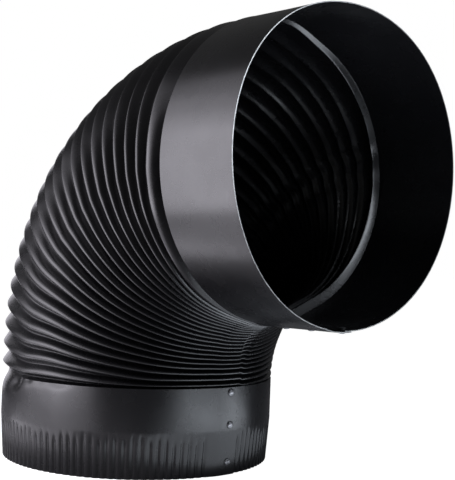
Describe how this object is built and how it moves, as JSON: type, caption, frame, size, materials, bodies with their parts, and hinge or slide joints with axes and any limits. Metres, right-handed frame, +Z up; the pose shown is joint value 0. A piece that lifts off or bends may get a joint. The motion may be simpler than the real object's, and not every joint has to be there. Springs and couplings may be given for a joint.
{
  "type": "flue elbow",
  "caption": "Black sheet-steel flue elbow that turns a round pipe through a right angle, with a pleated bend, a plain socket end and a crimped spigot end.",
  "frame": {"origin": "centre of the bounding box in plan, on the plane of the crimped rim that the elbow stands on", "axes": "+Z up, along the axis of the crimped end from its rim into the bend; +X the way the plain end opens; the bend lies in the XZ plane"},
  "size_m": [0.3143, 0.2068, 0.3117],
  "materials": {
    "black_sheet": "satin black stove paint on 24 gauge sheet steel",
    "rivet_steel": "small domed rivets, worn bright on top"
  },
  "bodies": {
    "root": {"crimped_collar": "black_sheet", "lower_pleats": "black_sheet", "lower_middle_pleats": "black_sheet", "upper_middle_pleats": "black_sheet", "upper_pleats": "black_sheet", "plain_collar": "black_sheet", "crimped_end_rivet_1": "rivet_steel", "crimped_end_rivet_2": "rivet_steel", "crimped_end_rivet_3": "rivet_steel", "plain_end_rivet_1": "rivet_steel", "plain_end_rivet_2": "rivet_steel", "plain_end_rivet_3": "rivet_steel"}
  },
  "joints": []
}
